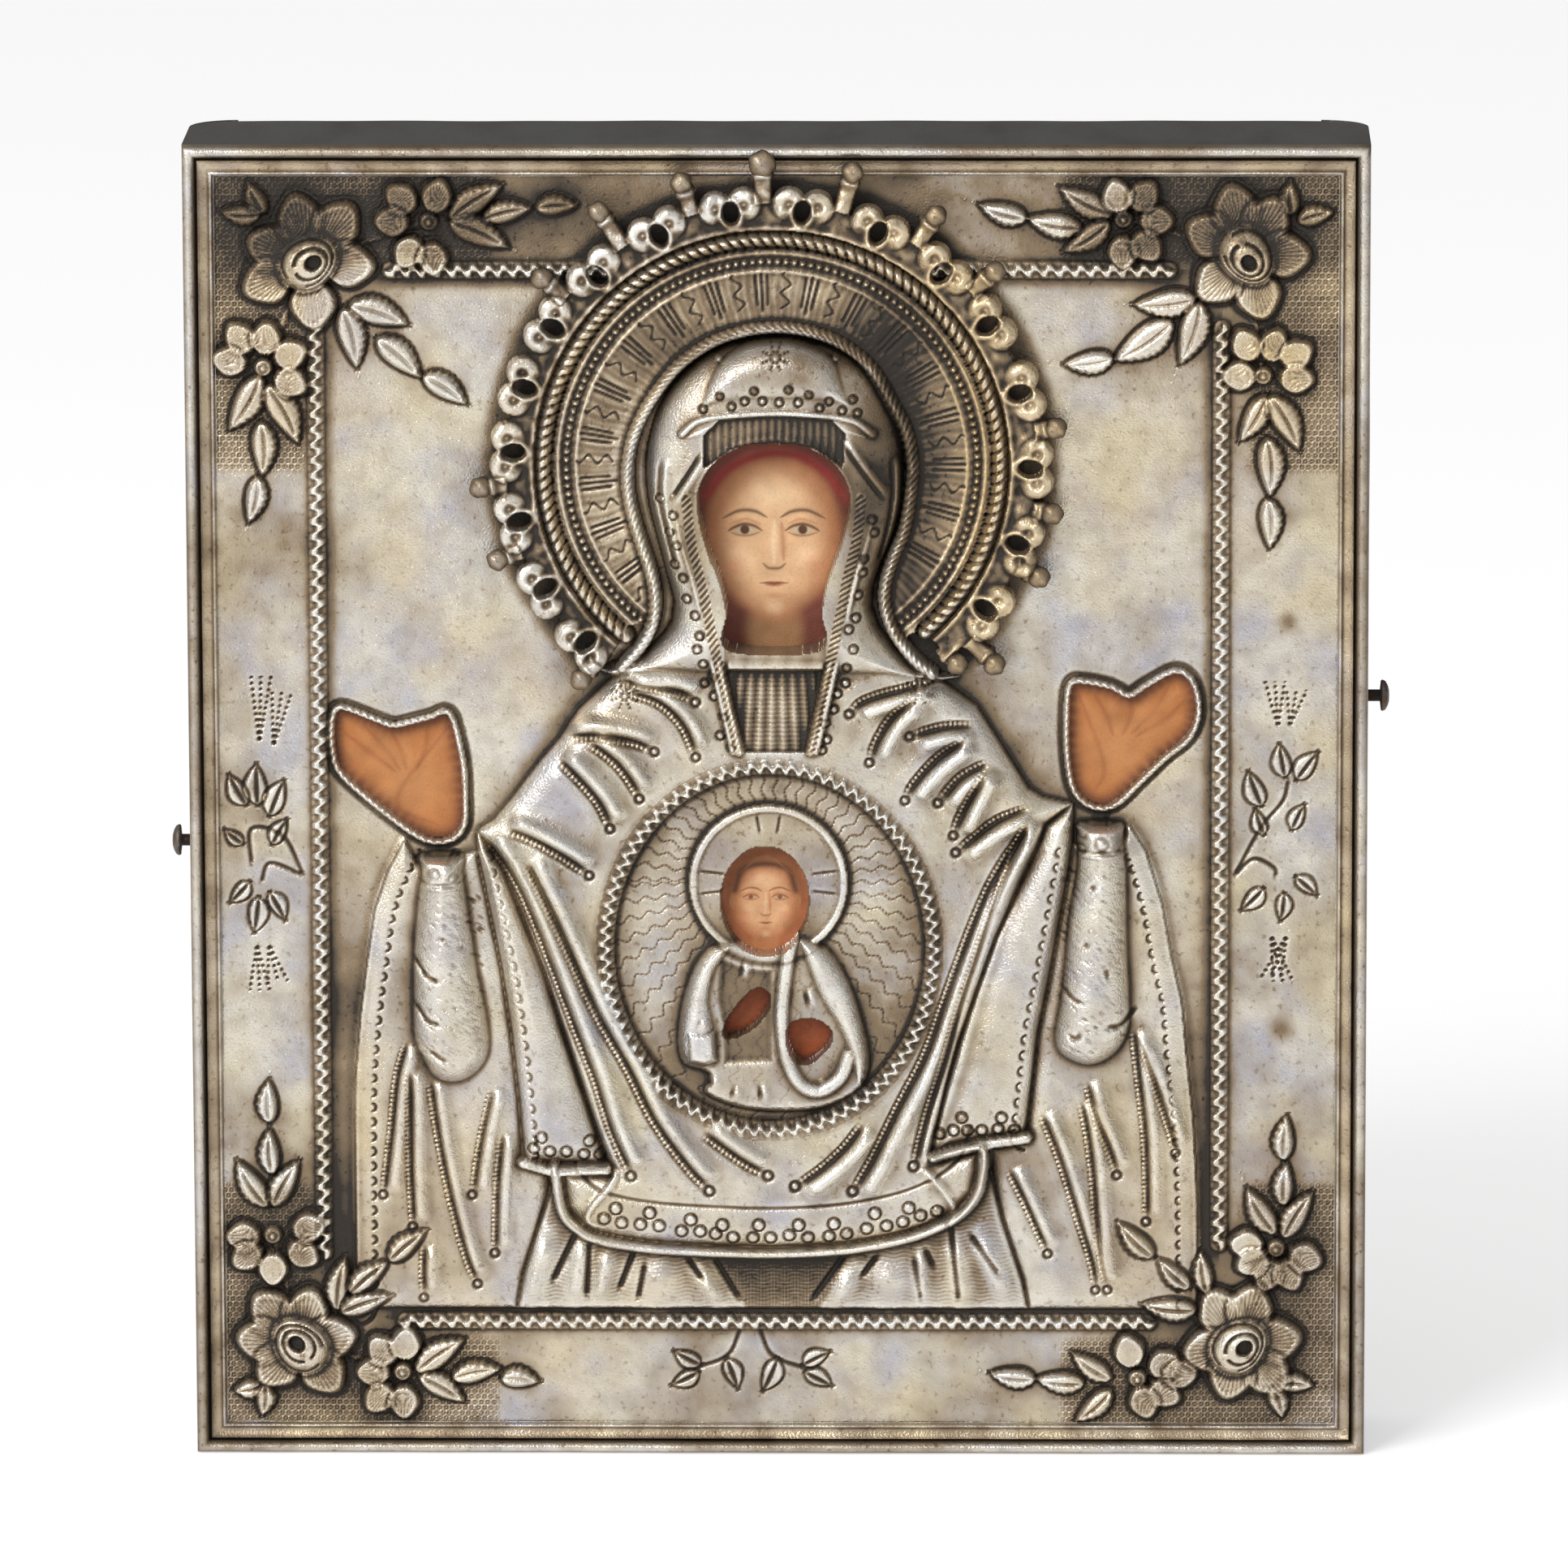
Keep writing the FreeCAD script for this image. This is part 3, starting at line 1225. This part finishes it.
def make_nimbus_ropes(icon, mantle):
    """Wire along the hood and outer rope round the rays."""
    path = icon.spots(NIMBUS_WIRE_SHARES)
    half = icon.size("nimbus_wire_width") / 2
    edges = side_points(path, [half] * len(path)) + side_points(path, [-half] * len(path))[::-1]
    icon.raised("nimbus_wire", plate(edges, 0, icon.size("nimbus_wire_rise")).cut(mantle))
    middle = icon.spot(NIMBUS_MIDDLE_SHARES)
    path = arc_points(middle, chain_radius(icon), *NIMBUS_END_ANGLES[::-1], ARC_STEPS)
    chain = toothed_rope(
        path, icon.size("nimbus_chain_width"), icon.size("rope_tooth"), CHAIN_TEETH,
        icon.size("nimbus_chain_rise"),
    )
    icon.raised("nimbus_chain", chain)


def gallery_cell(icon, angle):
    """Heart-shaped scallop of two volutes, from its back to its front."""
    low = icon.size("gallery_lift")
    high = low + icon.size("gallery_wall")
    radius = icon.size("volute_radius")
    curl = icon.size("volute_curl_radius")
    pieces = []
    for side in (-1, 1):
        reach = chain_edge(icon) + icon.size("volute_reach")
        place = turned(icon, angle + side * VOLUTE_SPREAD_ANGLE, reach)
        pieces.append(plate(ring_points(place, radius, radius, ROUND_SIDES), low, high))
        outline = ring_points(place, curl, curl, STUD_SIDES)
        pieces.append(plate(outline, low, high + icon.size("volute_curl_rise")))
    return pieces


def gallery_hole(icon, angle):
    """Oval hole between the two volutes of a cell."""
    low = icon.size("gallery_lift") - icon.size("overrun")
    high = icon.size("gallery_lift") + icon.size("gallery_wall") + 2 * icon.size("overrun")
    outline = ring_points(
        turned(icon, angle, chain_edge(icon) + icon.size("gallery_hole_reach")),
        icon.size("gallery_hole_half_length"), icon.size("gallery_hole_half_width"), ROUND_SIDES, angle,
    )
    return plate(outline, low, high)


def knob_spot(icon, share):
    """Place of a knob, from its angle and its share of the outer rope's radius."""
    angle, reach = share
    return turned(icon, angle, chain_radius(icon) * reach / THOUSAND)


def knob_stem(icon, spot):
    """Narrow bar that runs from the gallery's band to a knob's middle."""
    middle = icon.spot(NIMBUS_MIDDLE_SHARES)
    run = math.dist(middle, spot)
    along = ((spot[0] - middle[0]) / run, (spot[1] - middle[1]) / run)
    half = icon.size("knob_radius") / 2
    start = chain_edge(icon) + icon.size("seat_gap") + icon.size("gallery_band_width") * ROOT_SHARE
    near = (middle[0] + along[0] * start, middle[1] + along[1] * start)
    outline = [
        (near[0] - along[1] * half, near[1] + along[0] * half),
        (spot[0] - along[1] * half, spot[1] + along[0] * half),
        (spot[0] + along[1] * half, spot[1] - along[0] * half),
        (near[0] + along[1] * half, near[1] - along[0] * half),
    ]
    low = icon.size("gallery_lift")
    return plate(outline, low, low + icon.size("gallery_wall"))


def make_gallery(icon):
    """Pierced gallery of scallops that stands off the field, carried by the outer rope."""
    low = icon.size("gallery_lift")
    inner = chain_edge(icon) + icon.size("seat_gap")
    outer = inner + icon.size("gallery_band_width")
    high = low + icon.size("gallery_wall")
    pieces = [sector(icon, inner, outer, low, high, NIMBUS_END_ANGLES)]
    for angle in GALLERY_ANGLES:
        pieces += gallery_cell(icon, angle)
    pieces += [knob_stem(icon, knob_spot(icon, share)) for share in KNOB_SHARES + [CROWN_KNOB_SHARES]]
    holes = Part.makeCompound([gallery_hole(icon, angle) for angle in GALLERY_ANGLES])
    icon.raised("nimbus_gallery", joined(pieces).cut(holes))


def make_knobs(icon):
    """Round knobs at the ends of the stems."""
    low = icon.size("gallery_lift") + icon.size("gallery_wall")
    radius = icon.size("knob_radius")
    pieces = []
    for share in KNOB_SHARES + [CROWN_KNOB_SHARES]:
        wide = icon.size("crown_knob_radius") if share == CROWN_KNOB_SHARES else radius
        spot = knob_spot(icon, share)
        outline = ring_points(spot, wide, wide, STUD_SIDES)
        pieces.append(hipped(outline, spot, low, low + icon.size("knob_rise"), KNOB_TOP_SHARE))
    icon.raised("nimbus_knobs", Part.makeCompound(pieces))


def check_and_write(icon):
    """Stop on any failed object, then write each sub-part to its own file."""
    icon.doc.recompute()
    for item in icon.doc.Objects:
        if "Invalid" in item.State or "Error" in item.State:
            raise RuntimeError(f"{item.Label} failed: {item.State}")
    for item in icon.nodes:
        if item.Shape.isNull() or not item.Shape.isValid():
            raise RuntimeError(f"{item.Label} has no valid shape")
    os.makedirs("parts", exist_ok=True)
    for item in icon.nodes:
        item.Shape.exportStep(f"parts/{item.Label}.step")
        print(f"{item.Label}: {len(item.Shape.Solids)} solids, {item.Shape.Volume:.1f} mm3")


def main():
    """Build the icon from the board outwards."""
    icon = Icon()
    holes = openings(icon)
    nails = make_nails(icon)
    eye = make_ring_eye(icon)
    make_hanging_ring(icon)
    battens = [
        make_batten(icon, "upper_batten", "Sizes.cover_height - Sizes.upper_batten_drop"),
        make_batten(icon, "lower_batten", "Sizes.lower_batten_place"),
    ]
    make_board(icon, battens + [nails, eye])
    make_gesso(icon, make_paints(icon, holes))
    make_cover(icon, holes, nails)
    make_rim(icon)
    bouquets = make_bouquets(icon)
    make_field_rope(icon, Part.makeCompound(bouquets))
    mantle = make_mantle(icon, holes, medallion_outline(icon, -icon.size("seat_gap")))
    seated = mantle.Shape.translated(Vector(0, -icon.front(), 0))
    make_lapels(icon, seated)
    make_veils(icon, make_sleeves(icon), Part.makeCompound(bouquets))
    make_robe(icon)
    make_medallion(icon, holes)
    make_hand_rims(icon, holes)
    make_nimbus_plate(icon, seated)
    make_nimbus_ropes(icon, seated)
    make_gallery(icon)
    make_knobs(icon)
    check_and_write(icon)


main()
